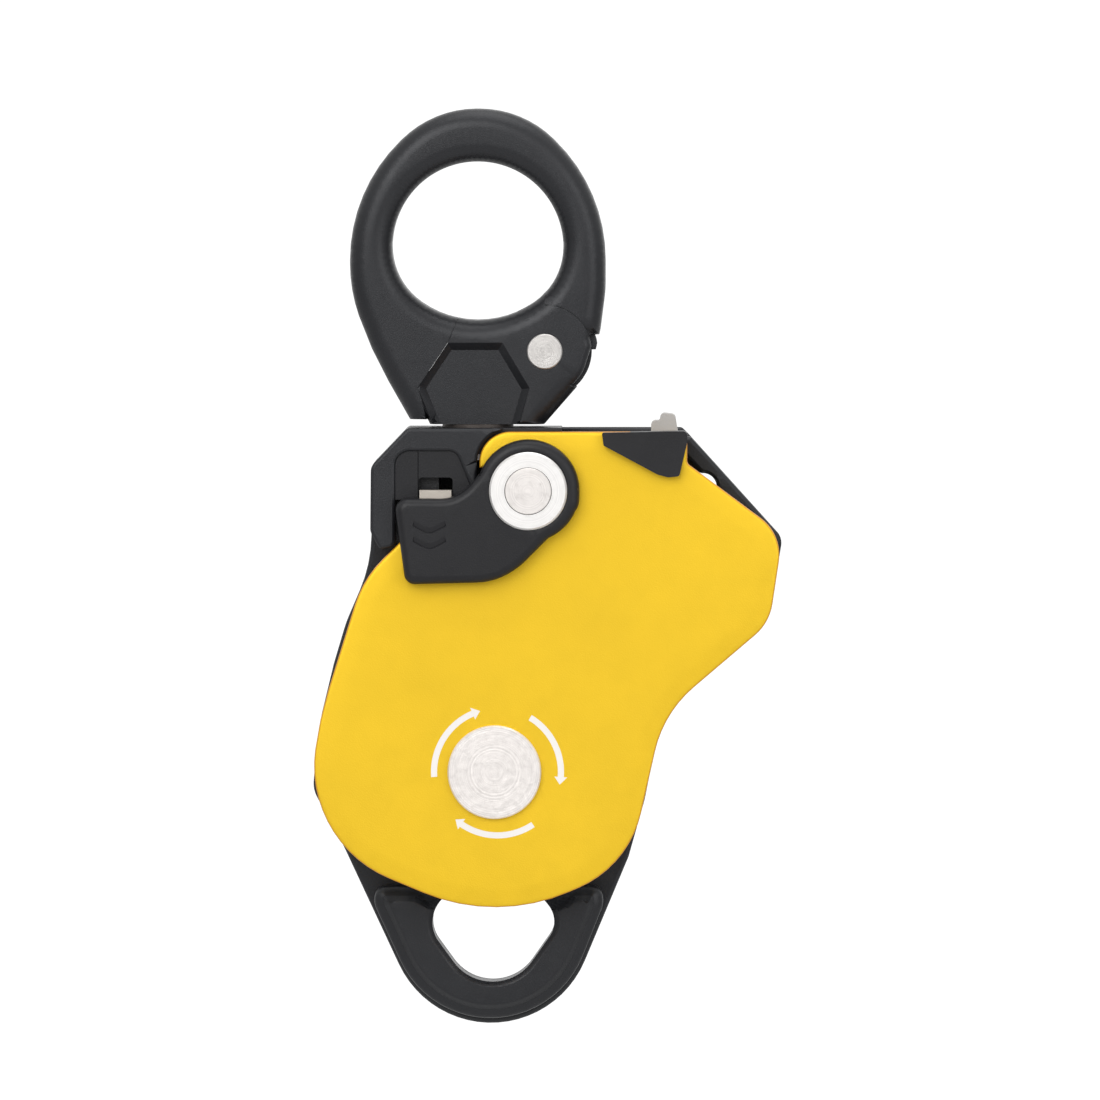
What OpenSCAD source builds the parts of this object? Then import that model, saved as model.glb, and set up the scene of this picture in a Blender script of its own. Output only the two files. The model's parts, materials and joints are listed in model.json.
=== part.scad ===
// Progress-capture rope pulley with a gated swivel, a ball-bearing sheave, a toothed cam,
// a side plate that turns open and a press latch. Millimetres, +Z up, front is -Y.
// The origin is the centre of the swivel eye, on the axis that the swivel turns about.

/* [Sheave] */
// Radius of the bottom of the rope groove
tread_r = 19; // [18:0.5:19.5]
// Outer radius of the sheave's rims
rim_r = 23.6; // [23:0.1:23.8]
// Width of the sheave over its rims
sheave_w = 14.4; // [13.6:0.2:14.8]
// Radius of the sheave axle
axle_r = 5; // [4.6:0.1:5]
// Radius of the axle's head at the front
axle_head_r = 8.4; // [7.5:0.1:9]

/* [Side plates] */
// Clear space between the two side plates
gap_w = 16; // [15.8:0.1:16.2]
// Thickness of the moving side plate
plate_t = 3; // [2.6:0.1:3.2]
// Thickness of the fixed rear plate
rear_t = 3.5; // [3:0.1:4]
// Thickness of the lower ear
ear_t = 10.5; // [9:0.5:11]

/* [Swivel] */
// Thickness of the swivel's eye
eye_t = 13; // [12:0.2:13.4]
// Radius of the round part of the eye's hole
eye_r = 15.4; // [15:0.1:16]
// Radius of the bolt that the eye's gate turns on
gate_bolt_r = 3.2; // [3:0.1:3.4]
// Thickness of the gate's tongue inside the base
tongue_t = 5.6; // [5:0.2:6]

/* [Cam and latch] */
// Radius of the cam axle where the cam turns
cam_axle_r = 4; // [3.8:0.1:4]
// Radius of the groove that the side plate's hook goes round
neck_r = 3.4; // [3.2:0.1:3.4]
// Radius of the bright collar that the latch turns on
collar_r = 7; // [6.8:0.1:7.1]
// Thickness of the latch lever
lever_t = 4; // [3.6:0.1:4.2]

/* [Hidden] */
$fn = 96;
arc_step = 6;          // largest turn between two points of a rounded corner
running = 0.05;        // radial clearance of a running fit
free_gap = 0.3;        // clearance between faces that pass each other
eps = 0.02;            // a cut runs this far past a face

// The swivel axis is this far left of the sheave axle, and the eye this far above it
axle_x = 3.1;
axle_drop = 94.1;
// Cam axle, from the sheave axle
cam_x = 6.1;
cam_z = 50.6;
cam_radius = norm([cam_x, cam_z]);
cam_angle = atan2(cam_z, cam_x);

// Depths, front to back
plate_back = -gap_w / 2;
plate_front = plate_back - plate_t;
rear_front = gap_w / 2;
rear_back = rear_front + rear_t;
lever_back = plate_front - free_gap;
lever_front = lever_back - lever_t;
cap_t = 2.2;

// Heights of the frame's head, from the sheave axle
head_top = 61.7;
bar_under = 57;
swivel_bore_r = 4.6;
swivel_x = -axle_x;
nut_r = 5.6;
nut_top = 58.3;
nut_t = 2.4;
washer_t = 0.6;
base_bottom = head_top + washer_t;
stud_in = 8;    // how far the stud stands in the base

// Gate bolt, from the swivel axis and the sheave axle
bolt_x = 9.0;
bolt_z = 75.4;
front_lobe_r = 7.7;    // the base's cheeks round the bolt
gate_foot_r = 8.5;     // where the gate's full thickness starts
knuckle_r = 8.4;       // the gate's tongue round the bolt
tongue_reach = 21.2;   // the closing tongue starts this far from the bolt

// Bearing
race_out_r = 11;
race_out_in_r = 9;
race_in_out_r = 7;
ball_r = 1.5;
ball_count = 10;
bearing_w = 7;

// ---------- outlines ----------

function unit(v) = v / norm(v);

// The points that round corner b, which lies between a and c, with b's own radius
function corner(a, b, c) =
    let (p = [b.x, b.y], u = unit([a.x, a.y] - p), v = unit([c.x, c.y] - p),
        half = acos(u * v) / 2,
        centre = p + unit(u + v) * b.z / sin(half),
        start = p + u * b.z / tan(half) - centre,
        finish = p + v * b.z / tan(half) - centre,
        from = atan2(start.y, start.x),
        turn = (atan2(finish.y, finish.x) - from + 540) % 360 - 180,
        steps = max(2, ceil(abs(turn) / arc_step)))
    b.z <= 0 ? [p] : [for (i = [0:steps])
        centre + b.z * [cos(from + turn * i / steps), sin(from + turn * i / steps)]];

// An outline from [across, up, radius] corners
function outline(corners) =
    let (n = len(corners))
    [for (i = [0:n - 1]) each corner(corners[(i + n - 1) % n], corners[i], corners[(i + 1) % n])];

// The points of an arc about a centre
function arc(centre, r, from, to) =
    let (steps = max(2, ceil(abs(to - from) / arc_step)))
    [for (i = [0:steps]) centre + r * [cos(from + (to - from) * i / steps),
        sin(from + (to - from) * i / steps)]];

// Stands a flat shape up and gives it depth, from front to back along Y
module slab(front, back) {
    translate([0, back, 0]) rotate([90, 0, 0]) linear_extrude(back - front) children();
}

// A cylinder along Y
module rod(x, z, r, front, back) {
    translate([x, back, z]) rotate([90, 0, 0]) cylinder(h = back - front, r = r);
}

// A ring along Y
module ring(x, z, r_out, r_in, front, back) {
    difference() {
        rod(x, z, r_out, front, back);
        rod(x, z, r_in, front - 1, back + 1);
    }
}

// A disc along Y whose front edge is bevelled
module head(x, z, r, front, back, bevel) {
    translate([x, 0, z]) rotate([90, 0, 0]) rotate_extrude()
        polygon([[0, -back], [r, -back], [r, -front - bevel], [r - bevel, -front], [0, -front]]);
}

// Everything is drawn from the sheave axle, and this moves it below the eye
module from_axle() {
    translate([axle_x, 0, -axle_drop]) children();
}

// A wire that follows the turns of a coil along Y
module coil(x, z, r, wire_r, front, back, turns) {
    sides = 8;
    rings = turns * 20;
    points = [for (i = [0:rings], k = [0:sides - 1])
        let (t = 360 * turns * i / rings, s = 360 * k / sides, w = r + wire_r * cos(s))
        [x + w * cos(t), front + (back - front) * i / rings + wire_r * sin(s), z + w * sin(t)]];
    faces = concat(
        [for (i = [0:rings - 1], k = [0:sides - 1])
            let (a = i * sides + k, b = i * sides + (k + 1) % sides)
            [a, a + sides, b + sides, b]],
        [[for (k = [0:sides - 1]) k]],
        [[for (k = [sides - 1:-1:0]) rings * sides + k]]);
    polyhedron(points, faces, convexity = 6);
}

// ---------- fixed frame ----------

rear_corners = [[-15.5, 61.4, 1], [-22.3, 54.6, 2], [-22.6, 36.6, 26], [-27.1, 26.1, 21],
    [-32, 9.6, 90], [-33.1, -4.2, 5.3], [-27.6, -14.3, 33], [0, -73.5, 18.4],
    [24, -16.3, 3.5], [26.9, -6, 12], [30.2, 10.4, 20], [49.4, 26.8, 9.2], [51.8, 41.4, 3],
    [34.9, 60.1, 1.5], [33.6, 61.4, 1]];
ear_corners = [[-21.6, -21.4, 2], [-22, -24.5, 4], [0.2, -72.8, 18], [19.5, -24.7, 4],
    [19.2, -21.4, 2]];
ear_clear_r = 25.5;
ear_hole = [[-8.5, -22.5, 3], [-13.1, -27.3, 5.8], [-0.4, -44.8, 8.7], [11.9, -27.3, 4.6],
    [7.5, -22.5, 3]];
head_corners = [[-15.7, head_top, 1], [-22.2, 54.9, 2.4], [-22.3, 43.2, 2.2],
    [-20.6, 40, 2], [-17.9, 40, 0], [-10, 46, 1], [-10, bar_under, 1], [12, bar_under, 0],
    [12, head_top, 0]];
head_face = [[-15.7, head_top, 1], [-22.2, 54.9, 2.4], [-22.3, 43.2, 2.2],
    [-20.6, 40, 1], [-18.6, 40.4, 0], [-10, 47.6, 0], [-3.2, 48.4, 0], [-3.2, 55.6, 0],
    [1.4, head_top, 0]];
window = [[-17.8, 36, 0], [-17.8, 57.6, 2.6], [-6.9, 57.6, 2], [-3.7, 49.8, 0.4],
    [-4.4, 36, 0]];
window_floor = -6.2;
strut_corners = [[34.9, 60.1, 1], [51.3, 42, 1], [49.2, 40.1, 1], [32.4, 58.4, 1]];
strut_hole = [37.4, 50.7];
strut_front = 4.5;

module fixed_frame() color("#2b2d31") from_axle() {
    difference() {
        union() {
            slab(rear_front, rear_back) polygon(outline(rear_corners));
            slab(rear_back - ear_t, rear_front + eps) difference() {
                polygon(outline(ear_corners));
                circle(ear_clear_r);
            }
            slab(plate_back + free_gap, rear_front + eps) polygon(outline(head_corners));
            slab(plate_front, plate_back + free_gap + eps) difference() {
                polygon(outline(head_face));
                translate([2.8, 55.6]) circle(5.9);
            }
            slab(strut_front, rear_front + eps) polygon(outline(strut_corners));
        }
        slab(plate_front - 1, window_floor) polygon(outline(window));
        slab(rear_back - ear_t - 1, rear_back + 1) polygon(outline(ear_hole));
        rod(0, 0, axle_r, 0, rear_back + 1);
        rod(cam_x, cam_z, cam_axle_r, 0, rear_back + 1);
        rod(strut_hole.x, strut_hole.y, 2.5, 0, rear_back + 1);
        translate([swivel_x, 0, bar_under - 1]) cylinder(h = 8, r = swivel_bore_r);
        translate([swivel_x, 0, bar_under - 1]) cylinder(h = nut_top + 0.7 - bar_under + 1,
            r = nut_r + free_gap);
    }
}

// ---------- moving side plate ----------

hook_r = neck_r + 0.35;
plate_corners = [[34.6, 61.1, 1.5], [34.6, 55.4, 1], [51.8, 42.6, 8.2], [49.4, 26.8, 9.2],
    [30.4, 10.6, 21.3], [24.2, -16.9, 19.4], [0.4, -27.3, 33.4], [-34.4, -12.7, 21.9],
    [-31.5, 9.4, 64.4], [-23.6, 34.7, 20], [-15.6, 42.6, 1], [-4, 44.4, 1]];

// The mouth under the hook follows the path that the cam axle takes as the plate turns
hook_mouth = concat(
    arc([0, 0], cam_radius - hook_r, 93, cam_angle),
    arc([cam_x, cam_z], hook_r, cam_angle - 180, cam_angle),
    arc([0, 0], cam_radius + hook_r, cam_angle, 92.8));
plate_outline = concat(
    [for (i = [0:len(plate_corners) - 2]) each corner(
        i == 0 ? [-2.7, 61.1, 0] : plate_corners[i - 1], plate_corners[i], plate_corners[i + 1])],
    [[-4, 44.4]], hook_mouth, corner([-2.7, 52, 0], [-2.7, 61.1, 5.5], plate_corners[0]));

module side_plate() color("#f2c32a") from_axle() difference() {
    slab(plate_front, plate_back) polygon(plate_outline);
    rod(0, 0, axle_r + running, plate_front - 1, plate_back + 1);
}

cap_corners = [[19.3, 61, 0.3], [34.6, 61.3, 0.8], [34.7, 59.6, 0.8], [33.2, 53.2, 0.6],
    [31.2, 53, 0.8], [29.3, 53.5, 0.6], [19.6, 58.7, 0.3]];

module corner_cap() color("#26262a") from_axle() difference() {
    slab(plate_front - cap_t, plate_back) polygon(outline(cap_corners));
    slab(plate_front, plate_back + 1) polygon(plate_outline);
}

// ---------- sheave and its bearing ----------

groove_half = 4;
rim_land = 1.1;

module sheave() color("#b9bcc0") from_axle() rotate([90, 0, 0]) rotate_extrude() difference() {
    translate([race_out_r, -sheave_w / 2]) square([rim_r - race_out_r, sheave_w]);
    polygon([[tread_r, -groove_half], [rim_r + eps, -sheave_w / 2 + rim_land],
        [rim_r + eps, sheave_w / 2 - rim_land], [tread_r, groove_half]]);
    for (side = [-1, 1]) translate([race_out_r - eps, side * sheave_w / 2 - 3.7])
        square([6, 7.4]);
}

module bearing_outer_race() color("#8f9296") from_axle() difference() {
    ring(0, 0, race_out_r, race_out_in_r, -bearing_w / 2, bearing_w / 2);
    rotate([90, 0, 0]) ball_track();
}

module bearing_inner_race() color("#a5a8ab") from_axle() difference() {
    ring(0, 0, race_in_out_r, axle_r, -bearing_w / 2, bearing_w / 2);
    rotate([90, 0, 0]) ball_track();
}

module ball_track() {
    rotate_extrude() translate([(race_out_in_r + race_in_out_r) / 2, 0]) circle(ball_r + running);
}

module bearing_balls() color("#d5d7d9") from_axle() {
    for (i = [0:ball_count - 1]) rotate([0, i * 360 / ball_count, 0])
        translate([(race_out_in_r + race_in_out_r) / 2, 0, 0]) sphere(ball_r);
}

module bearing_shields() color("#3a3b3e") from_axle() {
    for (side = [-1, 1]) ring(0, 0, race_out_in_r, race_in_out_r + 0.1,
        side * 2.9 - 0.3, side * 2.9 + 0.3);
}

module sheave_axle() color("#cdc8c2") from_axle() {
    rod(0, 0, axle_r, plate_front - running - eps, rear_back + 1.4);
    head(0, 0, axle_head_r, plate_front - 1.2, plate_front - running, 0.25);
}

module axle_spacers() color("#9a9da1") from_axle() {
    ring(0, 0, 6.8, axle_r, plate_back + 0.1, -bearing_w / 2);
    ring(0, 0, 6.8, axle_r, bearing_w / 2, rear_front);
}

module axle_end_washer() color("#bdb9b3") from_axle() {
    ring(0, 0, 8, axle_r, rear_back, rear_back + 1.2);
}

// ---------- cam ----------

cam_w = 7;
hub_r = 6.2;
nose_r = 24.2;      // the toothed face clears the tread by this less the tread's radius
tooth_count = 7;
cam_corners = [[-0.2, 50.2, 4], [4.6, 36, 8], [7.2, 24, 1.5], [8.6, 19.4, 0.6],
    [18.4, 10.6, 0.8], [21.6, 15.6, 3], [20, 32, 10], [17.6, 45, 8], [27.6, 54.2, 6],
    [33, 60.9, 0.8], [28, 60.9, 1.5], [21.5, 54.5, 4], [18, 52.3, 6], [7.5, 56.2, 4]];

module cam() color("#7d8084") from_axle() difference() {
    union() {
        slab(-cam_w / 2, cam_w / 2) polygon(outline(cam_corners));
        rod(cam_x, cam_z, hub_r, -cam_w / 2, cam_w / 2);
    }
    rod(0, 0, nose_r, -cam_w, cam_w);
    for (i = [0:tooth_count - 1]) rotate([0, -(36 + i * 4.4), 0])
        translate([nose_r, 0, 0]) rotate([0, 45, 0]) cube([1, cam_w + 2, 1], center = true);
    rod(cam_x, cam_z, 5, -cam_w, cam_w);
}

module cam_bush() color("#b08d57") from_axle() {
    ring(cam_x, cam_z, 5, cam_axle_r + running, -cam_w / 2, cam_w / 2);
}

tab_corners = [[28.1, 60.9, 0], [28.1, 62.9, 0.8], [29.6, 62.9, 0.3], [29.9, 64.3, 0.8],
    [32.4, 64, 0.8], [32.9, 60.9, 0]];

module cam_finger_tab() color("#8d8f91") from_axle() {
    slab(-cam_w / 2, cam_w / 2) polygon(outline(tab_corners));
}

module cam_axle() color("#cdc8c2") from_axle() {
    rod(cam_x, cam_z, cam_axle_r, plate_back + 0.1, rear_back + 1.2);
    rod(cam_x, cam_z, neck_r, lever_back, plate_back + 0.1 + eps);
    head(cam_x, cam_z, 4.26, lever_front - 0.6, lever_back + eps, 0.2);
}

module cam_collar() color("#d8d5d0") from_axle() difference() {
    head(cam_x, cam_z, collar_r, lever_front - 0.5, lever_back, 0.3);
    rod(cam_x, cam_z, 4.26, lever_front - 2, lever_back + 1);
}

module cam_axle_end_washer() color("#bdb9b3") from_axle() {
    ring(cam_x, cam_z, 6.4, cam_axle_r, rear_back, rear_back + 1);
}

module cam_spacers() color("#9a9da1") from_axle() {
    ring(cam_x, cam_z, 5.6, cam_axle_r, cam_w / 2 + 0.2, rear_front);
    ring(cam_x, cam_z, 5.2, cam_axle_r, plate_back + free_gap, -cam_w / 2 - 0.2);
}

module cam_spring() color("#6f7276") from_axle() {
    coil(cam_x, cam_z, 6.1, 0.42, cam_w / 2 + 0.7, rear_front - 0.6, 3);
}

// ---------- latch ----------

lever_corners = [[-18, 49.3, 2.2], [-6.9, 49.2, 6.8], [-3.4, 52.6, 12], [0.6, 59, 3],
    [11, 60.8, 5], [15.5, 55, 5], [15.2, 47.6, 3], [4.8, 37.2, 10], [0.4, 34.2, 12],
    [-15.9, 33.8, 1.9]];
lever_ring_r = 9.2;
tongue_x = -13.4;
tongue_w = 5.7;

module latch_lever() color("#2a2a2d") from_axle() difference() {
    union() {
        slab(lever_front, lever_back) difference() {
            polygon(outline(lever_corners));
            translate([-10, 60]) square([40, 20]);
            translate([cam_x, cam_z]) difference() {
                square([40, 40]);
                circle(lever_ring_r);
            }
            translate([cam_x - 9.4, cam_z + 3]) difference() {
                square([9.4, 20]);
                translate([9.4, -3]) circle(lever_ring_r);
            }
        }
        rod(cam_x, cam_z, lever_ring_r, lever_front, lever_back);
    }
    rod(cam_x, cam_z, collar_r + running, lever_front - 1, lever_back + 1);
    ring(cam_x, cam_z, 8.55, collar_r - 1, lever_back - 2.2, lever_back + 1);
    translate([tongue_x - 0.02, lever_back - 2.02, 44.98]) cube([tongue_w + 0.04, 4, 10]);
}

module latch_tongue() color("#b7b5b0") from_axle() {
    translate([tongue_x, lever_back, 49]) cube([tongue_w, 2.4, 1.7]);
    translate([tongue_x, lever_back - 2, 45]) cube([tongue_w, 2.01, 5.7]);
}

module latch_spring() color("#6f7276") from_axle() {
    coil(cam_x, cam_z, 7.8, 0.35, lever_back - 1.7, lever_back - 0.5, 2);
}

guide_front = plate_front + 0.5;
split_x = -13.7;
slot_corners = [[-13.6, 48.9, 0], [-13.6, 52.9, 0.6], [-7.5, 52.9, 0.6], [-7.5, 48.9, 0]];

module latch_guide() color("#303034") from_axle() slab(guide_front, window_floor)
    intersection() {
        polygon(outline(window));
        translate([-20, 48.9]) square([20 + split_x - 0.06, 20]);
    }

module latch_cover() color("#303034") from_axle() slab(guide_front, window_floor)
    difference() {
        intersection() {
            polygon(outline(window));
            translate([split_x + 0.06, 48.9]) square([20, 20]);
        }
        polygon(outline(slot_corners));
    }

// ---------- swivel ----------

eye_x = swivel_x;
eye_z = axle_drop;
eye_corners = [[-11.1, 119, 19], [-26.1, 104.4, 30], [-26.1, 86.4, 28.6],
    [-22.4, 75.7, 70], [-15.3, 63.2, 0.3], [-12.1, 63.2, 0], [-11.7, base_bottom, 0.3],
    [8.9, base_bottom, 0.4],
    [15.2, 69.5, 1], [17.6, 73.4, 3], [19, 79.4, 8], [19.9, 86.5, 20],
    [19.9, 104.4, 30], [4.9, 119, 19]];
eye_low = 13.1;    // from the eye's centre to the bottom of its hole
eye_low_corners = [[-eye_r, 1, 0], [-eye_r, -6.2, 12.2], [-5.6, -eye_low, 17.2],
    [5.6, -eye_low, 17.2], [eye_r, -6.2, 12.2], [eye_r, 1, 0]];
hex_corners = [[-8.5, 77, 0.4], [-13.9, 68.9, 0.3], [-10.6, 61, 0], [4, 61, 0],
    [6.3, 68.8, 0.3], [1.4, 77, 0.4]];
hex_depth = 1.2;

module eye_outline() {
    difference() {
        polygon(outline(eye_corners));
        translate([eye_x, eye_z]) {
            polygon(outline(eye_low_corners));
            difference() {
                circle(eye_r);
                translate([-30, -30]) square([60, 30]);
            }
        }
    }
}

// The part of the outline that the gate carries at full thickness
module gate_area() {
    polygon(concat([[-40, 62.8], [-12.2, 62.8], [-13.9, 68.9], [-8.5, 77], [-6, 83], [bolt_x, 90]],
        arc([bolt_x, bolt_z], gate_foot_r, 90, 20), [[40, 80], [60, 130], [-60, 130]]));
}

// The part that the gate carries as a tongue inside the base
module tongue_area() {
    difference() {
        translate([-30, 63.2]) square([60, 30]);
        translate([bolt_x, bolt_z]) circle(tongue_reach);
        translate([bolt_x, 0]) square([60, 120]);
    }
    translate([bolt_x, bolt_z]) circle(knuckle_r);
    polygon(concat([[bolt_x, bolt_z]], arc([bolt_x, bolt_z], gate_foot_r + 1, 2, 90)));
}

module base_area() {
    difference() {
        eye_outline();
        offset_gap() gate_area();
        polygon(concat(arc([bolt_x, bolt_z], front_lobe_r, -52, -14),
            arc([bolt_x, bolt_z], gate_foot_r - 0.1, 6, 40), [[40, 90], [40, 60]]));
    }
}

// A seam between two outlines that fit each other
module offset_gap() {
    for (step = [[0, 0], [-0.07, -0.1], [0.1, -0.07], [0.05, -0.05]]) translate(step) children();
}

module swivel_gate() color("#2b2d31") from_axle() difference() {
    union() {
        slab(-eye_t / 2, eye_t / 2) intersection() {
            eye_outline();
            gate_area();
        }
        slab(-tongue_t / 2, tongue_t / 2) intersection() {
            eye_outline();
            union() {
                tongue_area();
                gate_area();
            }
        }
    }
    rod(bolt_x, bolt_z, gate_bolt_r + running, -eye_t, eye_t);
}

module swivel_base() color("#2b2d31") from_axle() difference() {
    slab(-eye_t / 2, eye_t / 2) base_area();
    slab(-tongue_t / 2 - 0.1, tongue_t / 2 + 0.1) {
        difference() {
            translate([-30, 50]) square([60, 50]);
            translate([bolt_x, bolt_z]) circle(tongue_reach - 0.15);
        }
        translate([bolt_x, bolt_z]) circle(knuckle_r + 0.25);
    }
    for (side = [0, 180]) rotate([0, 0, side]) translate([side == 0 ? 0 : 6.2, 0, 0])
        slab(-eye_t / 2 - 1, -eye_t / 2 + hex_depth) polygon(outline(hex_corners));
    rod(bolt_x, bolt_z, gate_bolt_r, -eye_t, eye_t);
    translate([swivel_x, 0, base_bottom - 1]) cylinder(h = 1 + stud_in, r = swivel_bore_r - running);
}

module gate_bolt() color("#cfccc7") from_axle() difference() {
    head(bolt_x, bolt_z, gate_bolt_r, -eye_t / 2 - 0.15, eye_t / 2, 0.2);
    slab(eye_t / 2 - 2.5, eye_t / 2 + 1) translate([bolt_x, bolt_z]) circle(1.7, $fn = 6);
}

module swivel_stud() color("#a9a7a3") from_axle() {
    translate([swivel_x, 0, nut_top - nut_t]) cylinder(h = base_bottom + stud_in - nut_top + nut_t,
        r = swivel_bore_r - running);
}

module swivel_nut() color("#a9a7a3") from_axle() difference() {
    translate([swivel_x, 0, nut_top - nut_t]) cylinder(h = nut_t, r = nut_r);
    translate([swivel_x, 0, nut_top - nut_t - 1]) cylinder(h = nut_t + 2,
        r = swivel_bore_r - running);
}

module upper_thrust_washer() color("#c9b27c") from_axle() difference() {
    translate([swivel_x, 0, head_top]) cylinder(h = washer_t - 0.03, r = 6.4);
    translate([swivel_x, 0, head_top - 1]) cylinder(h = 3, r = swivel_bore_r);
}

module lower_thrust_washer() color("#c9b27c") from_axle() difference() {
    translate([swivel_x, 0, nut_top + 0.1]) cylinder(h = 0.6, r = nut_r);
    translate([swivel_x, 0, nut_top - 1]) cylinder(h = 3, r = swivel_bore_r);
}

fixed_frame();
side_plate();
corner_cap();
sheave();
bearing_outer_race();
bearing_inner_race();
bearing_balls();
bearing_shields();
sheave_axle();
axle_spacers();
axle_end_washer();
cam();
cam_bush();
cam_finger_tab();
cam_axle();
cam_collar();
cam_axle_end_washer();
cam_spacers();
cam_spring();
latch_lever();
latch_tongue();
latch_spring();
latch_guide();
latch_cover();
swivel_base();
swivel_gate();
gate_bolt();
swivel_stud();
swivel_nut();
upper_thrust_washer();
lower_thrust_washer();
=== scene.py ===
import json
import math

import bmesh
import bpy
import numpy as np
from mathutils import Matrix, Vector
from mathutils.geometry import delaunay_2d_cdt


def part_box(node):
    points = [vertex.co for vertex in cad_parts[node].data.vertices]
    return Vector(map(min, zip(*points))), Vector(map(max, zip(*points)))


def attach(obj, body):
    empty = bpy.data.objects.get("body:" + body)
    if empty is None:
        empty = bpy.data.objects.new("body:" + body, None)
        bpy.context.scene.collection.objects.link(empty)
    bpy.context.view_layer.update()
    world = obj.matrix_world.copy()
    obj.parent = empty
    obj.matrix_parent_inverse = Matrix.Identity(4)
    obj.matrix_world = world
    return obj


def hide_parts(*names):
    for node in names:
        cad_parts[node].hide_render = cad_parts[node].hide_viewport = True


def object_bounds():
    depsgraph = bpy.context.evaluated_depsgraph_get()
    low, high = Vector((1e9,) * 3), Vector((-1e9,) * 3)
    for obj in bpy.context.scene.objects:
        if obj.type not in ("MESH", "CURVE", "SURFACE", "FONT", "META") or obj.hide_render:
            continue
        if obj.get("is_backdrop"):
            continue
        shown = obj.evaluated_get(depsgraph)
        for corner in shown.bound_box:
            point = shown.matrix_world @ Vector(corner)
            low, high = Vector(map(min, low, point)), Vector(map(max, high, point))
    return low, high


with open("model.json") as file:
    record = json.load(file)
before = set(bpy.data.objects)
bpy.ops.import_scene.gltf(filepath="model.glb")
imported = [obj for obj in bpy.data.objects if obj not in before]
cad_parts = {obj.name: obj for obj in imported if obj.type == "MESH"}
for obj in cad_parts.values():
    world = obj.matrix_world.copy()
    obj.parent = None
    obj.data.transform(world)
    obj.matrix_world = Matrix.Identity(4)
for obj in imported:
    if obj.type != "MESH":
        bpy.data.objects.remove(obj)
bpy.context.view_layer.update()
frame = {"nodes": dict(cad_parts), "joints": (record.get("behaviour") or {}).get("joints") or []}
nodes = frame["nodes"]
MM = 0.001
# How far apart two points of an outline may be and still count as one
SAME_POINT = 0.02 * MM
# How far a point may lie off a straight side and still be left out
STRAIGHT = 0.002 * MM
joints = {joint["name"]: joint for joint in frame["joints"]}

# ---------- outlines, cut from the frame ----------


def section(node, y):
    """The closed loops, as (x, z) points with the material on the left, where depth y cuts a node."""
    cut_mesh = bmesh.new()
    cut_mesh.from_mesh(nodes[node].data)
    bmesh.ops.remove_doubles(cut_mesh, verts=cut_mesh.verts, dist=4e-6)
    everything = cut_mesh.verts[:] + cut_mesh.edges[:] + cut_mesh.faces[:]
    cut = bmesh.ops.bisect_plane(
        cut_mesh, geom=everything, dist=1e-9, plane_co=(0, y, 0), plane_no=(0, 1, 0))
    links = {}
    for edge in cut["geom_cut"]:
        if isinstance(edge, bmesh.types.BMEdge):
            a, b = edge.verts
            links.setdefault(a, []).append(b)
            links.setdefault(b, []).append(a)
    loops = []
    unused = set(links)
    for start in sorted(links, key=lambda v: len(links[v])):
        if start not in unused:
            continue
        loop = [start]
        unused.discard(start)
        while True:
            ahead = [v for v in links[loop[-1]] if v in unused]
            if not ahead:
                break
            loop.append(ahead[0])
            unused.discard(ahead[0])
        loops.append(np.array([(v.co.x, v.co.z) for v in loop]))
    cut_mesh.free()
    return oriented([simplified(loop) for loop in loops if len(loop) > 2])


def simplified(loop):
    """The loop without doubled points, or points on the straight line between their
    neighbours."""
    kept = [loop[0]]
    for i, point in enumerate(loop[1:], 1):
        a, b = kept[-1], loop[(i + 1) % len(loop)]
        along, across = b - a, point - a
        span = np.hypot(*along)
        off = abs(along[0] * across[1] - along[1] * across[0]) / max(span, 1e-12)
        if off > STRAIGHT and np.hypot(*across) > SAME_POINT:
            kept.append(point)
    return np.array(kept)


def area(loop):
    """The area inside a loop, negative where the loop is a hole's."""
    ahead = np.roll(loop, -1, axis=0)
    return 0.5 * np.sum(loop[:, 0] * ahead[:, 1] - ahead[:, 0] * loop[:, 1])


def inside(points, loops):
    """Whether each point lies in the material between the loops."""
    odd = np.zeros(len(points), bool)
    for loop in loops:
        a, b = loop, np.roll(loop, -1, axis=0)
        for (ax, az), (bx, bz) in zip(a, b):
            if az == bz:
                continue
            crosses = (az > points[:, 1]) != (bz > points[:, 1])
            x = ax + (points[:, 1] - az) * (bx - ax) / (bz - az)
            odd ^= crosses & (points[:, 0] < x)
    return odd


def oriented(loops):
    """Outer loops run anticlockwise and holes clockwise."""
    result = []
    for i, loop in enumerate(loops):
        others = [other for j, other in enumerate(loops) if j != i]
        hole = bool(inside(loop[:1], others)[0]) if others else False
        result.append(loop[::-1] if (area(loop) > 0) == hole else loop)
    return result


def divided(loop, spacing):
    """The loop with its long sides divided."""
    points = []
    for a, b in zip(loop, np.roll(loop, -1, axis=0)):
        count = max(1, math.ceil(np.hypot(*(b - a)) / spacing))
        points += [a + (b - a) * k / count for k in range(count)]
    return np.array(points)


def sides(loops):
    """Every side of the loops, as an array of starts and one of ends."""
    return np.concatenate(loops), np.concatenate([np.roll(loop, -1, axis=0) for loop in loops])


def distance(points, starts, ends):
    """Each point's distance from the nearest side."""
    if not len(starts):
        return np.full(len(points), 1.0)
    along = ends - starts
    length = np.maximum(np.sum(along * along, axis=1), 1e-18)
    nearest = np.full(len(points), np.inf)
    for first in range(0, len(points), 500):
        p = points[first:first + 500, None, :]
        t = np.clip(np.sum((p - starts) * along, axis=2) / length, 0, 1)
        gap = p - starts - t[:, :, None] * along
        nearest[first:first + 500] = np.sqrt(np.min(np.sum(gap * gap, axis=2), axis=1))
    return nearest


# ---------- building solids ----------

# A triangle lower than this is only points on one straight side
FLAT = 0.001 * MM


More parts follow.
